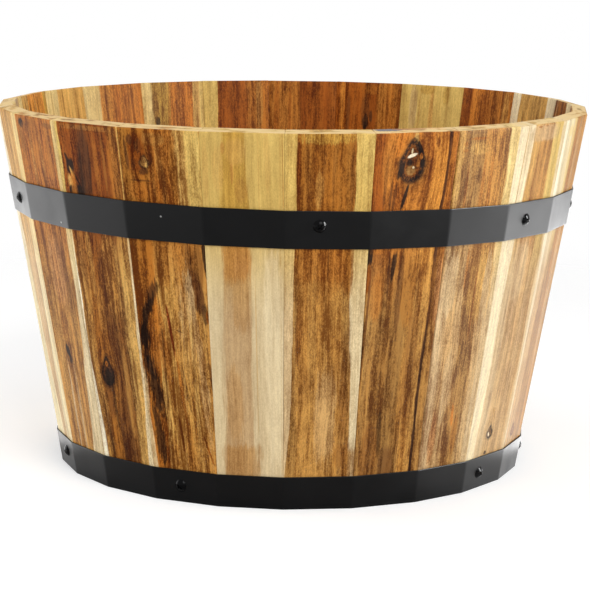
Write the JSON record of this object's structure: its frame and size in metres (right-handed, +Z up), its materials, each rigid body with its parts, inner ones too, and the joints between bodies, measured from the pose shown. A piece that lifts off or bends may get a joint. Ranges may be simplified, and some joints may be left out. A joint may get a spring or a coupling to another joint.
{
  "type": "wooden barrel planter",
  "caption": "Tapered coopered planter tub: mitred hardwood staves held by two black steel hoops, with a plank base in a croze on battens.",
  "frame": {"origin": "centre of the tub's footprint, on the floor", "axes": "+Z up along the tub's axis; the front, the side seen in the picture, faces -Y; +X is to the right of the front"},
  "size_m": [0.5787, 0.5785, 0.3526],
  "materials": {
    "acacia": "oiled acacia boards, cream sapwood and brown heartwood, satin",
    "base_wood": "planed acacia planks, matt",
    "hoop_steel": "satin black powder coat on flat steel strip",
    "screw_steel": "glossy black enamel on domed steel heads",
    "zinc_steel": "zinc plated screws"
  },
  "bodies": {
    "root": {"stave_01": "acacia", "stave_02": "acacia", "stave_03": "acacia", "stave_04": "acacia", "stave_05": "acacia", "stave_06": "acacia", "stave_07": "acacia", "stave_08": "acacia", "stave_09": "acacia", "stave_10": "acacia", "stave_11": "acacia", "stave_12": "acacia", "stave_13": "acacia", "stave_14": "acacia", "stave_15": "acacia", "stave_16": "acacia", "stave_17": "acacia", "stave_18": "acacia", "stave_19": "acacia", "stave_20": "acacia", "stave_21": "acacia", "stave_22": "acacia", "stave_23": "acacia", "upper_hoop": "hoop_steel", "lower_hoop": "hoop_steel", "upper_hoop_screws": "screw_steel", "lower_hoop_screws": "screw_steel", "upper_hoop_rivets": "screw_steel", "lower_hoop_rivets": "screw_steel", "base_plank_1": "base_wood", "base_plank_2": "base_wood", "base_plank_3": "base_wood", "base_plank_4": "base_wood", "base_plank_5": "base_wood", "base_plank_6": "base_wood", "batten_left": "base_wood", "batten_right": "base_wood", "batten_screws": "zinc_steel"}
  },
  "joints": []
}
